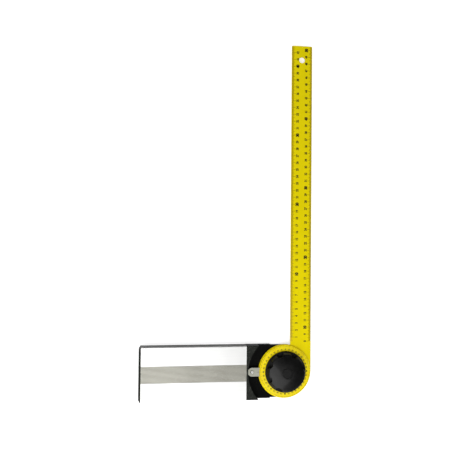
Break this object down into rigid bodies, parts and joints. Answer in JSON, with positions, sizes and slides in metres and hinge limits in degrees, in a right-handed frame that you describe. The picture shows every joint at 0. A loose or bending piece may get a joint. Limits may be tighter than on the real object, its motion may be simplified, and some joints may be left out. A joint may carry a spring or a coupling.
{
  "type": "bevel protractor",
  "caption": "Long yellow rule that swings on a hollow aluminium stock and is clamped by a round black knob over a degree dial.",
  "frame": {"origin": "on the pivot axis, in the plane of the stock's back", "axes": "+Y along the blade with the protractor at 90 degrees, stock towards -X, +Z out of the dial and knob"},
  "size_m": [0.244, 0.506, 0.0272],
  "materials": {
    "satin_aluminium": "satin anodised extrusion",
    "black_moulding": "spark-eroded texture",
    "zinc_steel": "zinc plated",
    "plain_steel": "turned, oiled",
    "spring_steel": "blued spring steel",
    "brown_fibre": "vulcanised fibre",
    "yellow_rule": "yellow lacquer over aluminium",
    "yellow_dial": "semi-gloss moulding",
    "black_gloss": "polished moulding",
    "turned_brass": "turned",
    "pointer_metal": "matt silver"
  },
  "bodies": {
    "stock": {"stock_extrusion": "satin_aluminium", "end_cap": "black_moulding", "end_cap_screws": "zinc_steel", "pivot_head": "black_moulding", "head_screws": "zinc_steel", "pivot_bush": "plain_steel", "clamp_bolt": "zinc_steel", "rear_cover": "black_moulding", "lower_friction_washer": "brown_fibre", "upper_friction_washer": "brown_fibre", "clamp_washer": "zinc_steel", "pointer": "pointer_metal", "pointer_screw": "zinc_steel"},
    "blade": {"blade": "yellow_rule", "dial_plate": "yellow_dial", "dial_rivets": "plain_steel"},
    "spring": {"spring_washer": "spring_steel"},
    "knob": {"knob": "black_gloss", "knob_insert": "turned_brass", "knob_cap": "black_gloss"}
  },
  "joints": [
    {"name": "blade_turn", "type": "hinge", "parent": "stock", "child": "blade", "pos_m": [0, 0, 0.009], "axis": [0, 0, 1], "range_deg": [-180, 53]},
    {"name": "knob_lift", "type": "slide", "parent": "stock", "child": "spring", "axis": [0, 0, 1], "range_m": [0, 0.00126]},
    {"name": "knob_turn", "type": "hinge", "parent": "spring", "child": "knob", "pos_m": [0, 0, 0.02], "axis": [0, 0, 1], "range_deg": [0, 360]}
  ],
  "couplings": [
    {"joint": "knob_lift", "follows": "knob_turn", "m_per_rad": 0.00019894}
  ]
}
